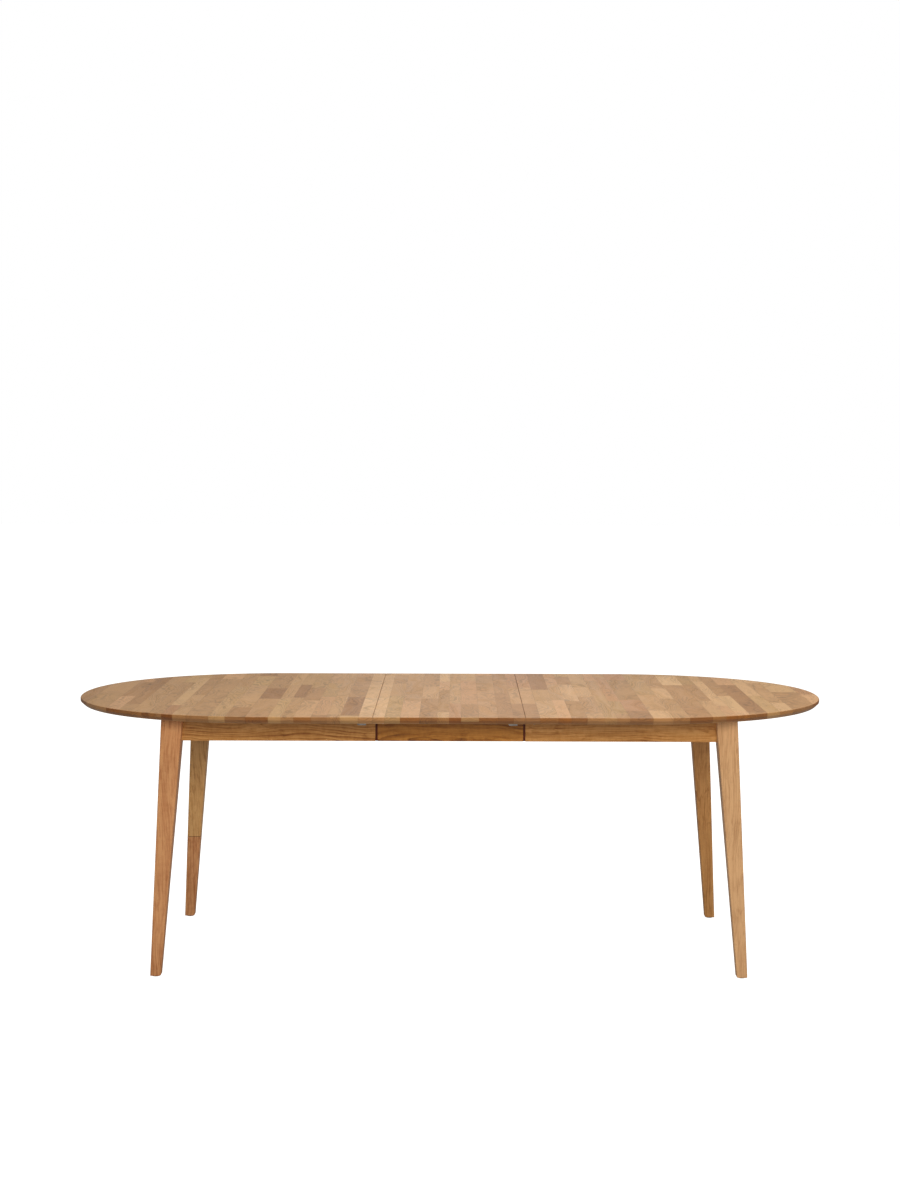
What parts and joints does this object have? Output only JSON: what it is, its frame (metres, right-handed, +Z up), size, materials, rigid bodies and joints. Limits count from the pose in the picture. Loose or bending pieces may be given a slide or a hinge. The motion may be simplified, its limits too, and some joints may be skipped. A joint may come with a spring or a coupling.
{
  "type": "extendable dining table",
  "caption": "Long oval dining table in solid oak with a removable centre leaf, splayed square-tapered legs, and a top that parts on geared wooden slides.",
  "frame": {"origin": "on the floor, under the middle of the extended table", "axes": "+Z up, +X along the length with the right half at +X, -Y towards the front"},
  "size_m": [2.15, 1, 0.75],
  "materials": {
    "oak_top": "matt oiled",
    "oak_aprons": "matt oiled",
    "oak_legs": "matt oiled",
    "stained": "dark stained",
    "beech": "waxed",
    "steel": "satin",
    "zinc": "zinc plated",
    "nylon": "matt"
  },
  "bodies": {
    "left_half": {"top_left": "oak_top", "leg_front_left": "oak_legs", "leg_rear_left": "oak_legs", "glides_left": "nylon", "apron_front_left": "oak_aprons", "apron_rear_left": "oak_aprons", "apron_end_left": "oak_aprons", "seam_rail_left": "beech", "leg_braces_left": "steel", "leg_bolts_left": "zinc", "leg_nuts_left": "zinc", "top_angles_left": "steel", "slide_bar_front_left": "beech", "slide_bar_rear_left": "beech", "rack_front_left": "steel", "rack_rear_left": "steel", "stop_tabs_left": "steel", "latch_plates_left": "zinc", "latch_pivots_left": "zinc", "screws_left": "steel"},
    "right_half": {"top_right": "oak_top", "leg_front_right": "oak_legs", "leg_rear_right": "oak_legs", "glides_right": "nylon", "apron_front_right": "oak_aprons", "apron_rear_right": "oak_aprons", "apron_end_right": "oak_aprons", "seam_rail_right": "beech", "leg_braces_right": "steel", "leg_bolts_right": "zinc", "leg_nuts_right": "zinc", "top_angles_right": "steel", "slide_bar_front_right": "beech", "slide_bar_rear_right": "beech", "rack_front_right": "steel", "rack_rear_right": "steel", "stop_tabs_right": "steel", "catch_plates_right": "zinc", "gap_strips_right": "stained", "screws_right": "steel"},
    "leaf": {"leaf_top": "oak_top", "leaf_apron_front": "oak_aprons", "leaf_apron_rear": "oak_aprons", "leaf_blocks": "beech", "gap_strips_leaf": "stained", "latch_plates_leaf": "zinc", "latch_pivots_leaf": "zinc", "catch_plates_leaf": "zinc", "screws_leaf": "steel"},
    "middle_bar_front": {"slide_middle_front": "beech", "pinion_bolt_front": "zinc"},
    "middle_bar_rear": {"slide_middle_rear": "beech", "pinion_bolt_rear": "zinc"},
    "pinion_front": {"pinion_front": "steel"},
    "pinion_rear": {"pinion_rear": "steel"},
    "latch_arm_front_left": {"latch_arm_front_left": "zinc"},
    "latch_arm_rear_left": {"latch_arm_rear_left": "zinc"},
    "latch_arm_front_leaf": {"latch_arm_front_leaf": "zinc"},
    "latch_arm_rear_leaf": {"latch_arm_rear_leaf": "zinc"}
  },
  "joints": [
    {"name": "halves_slide", "type": "slide", "parent": "left_half", "child": "right_half", "axis": [1, 0, 0], "range_m": [0, 0.06]},
    {"name": "leaf_lift", "type": "slide", "parent": "left_half", "child": "leaf", "axis": [0, 0, 1], "range_m": [0, 0.3]},
    {"name": "middle_front_slide", "type": "slide", "parent": "left_half", "child": "middle_bar_front", "axis": [1, 0, 0], "range_m": [0, 0.03]},
    {"name": "middle_rear_slide", "type": "slide", "parent": "left_half", "child": "middle_bar_rear", "axis": [1, 0, 0], "range_m": [0, 0.03]},
    {"name": "pinion_front_turn", "type": "hinge", "parent": "middle_bar_front", "child": "pinion_front", "pos_m": [0, -0.184, 0.716], "axis": [0, 0, 1], "range_deg": [-115, 0]},
    {"name": "pinion_rear_turn", "type": "hinge", "parent": "middle_bar_rear", "child": "pinion_rear", "pos_m": [0, 0.184, 0.716], "axis": [0, 0, 1], "range_deg": [0, 115]},
    {"name": "latch_front_left_turn", "type": "hinge", "parent": "left_half", "child": "latch_arm_front_left", "pos_m": [-0.239, -0.42, 0.724], "axis": [0, 0, 1], "range_deg": [-90, 0]},
    {"name": "latch_rear_left_turn", "type": "hinge", "parent": "left_half", "child": "latch_arm_rear_left", "pos_m": [-0.239, 0.42, 0.724], "axis": [0, 0, -1], "range_deg": [-90, 0]},
    {"name": "latch_front_leaf_turn", "type": "hinge", "parent": "leaf", "child": "latch_arm_front_leaf", "pos_m": [0.171, -0.42, 0.724], "axis": [0, 0, 1], "range_deg": [-90, 0]},
    {"name": "latch_rear_leaf_turn", "type": "hinge", "parent": "leaf", "child": "latch_arm_rear_leaf", "pos_m": [0.171, 0.42, 0.724], "axis": [0, 0, -1], "range_deg": [-90, 0]}
  ],
  "couplings": [
    {"joint": "middle_front_slide", "follows": "halves_slide", "ratio": 0.5},
    {"joint": "middle_rear_slide", "follows": "halves_slide", "ratio": 0.5},
    {"joint": "pinion_front_turn", "follows": "halves_slide", "rad_per_m": -33.333},
    {"joint": "pinion_rear_turn", "follows": "halves_slide", "rad_per_m": 33.333}
  ]
}
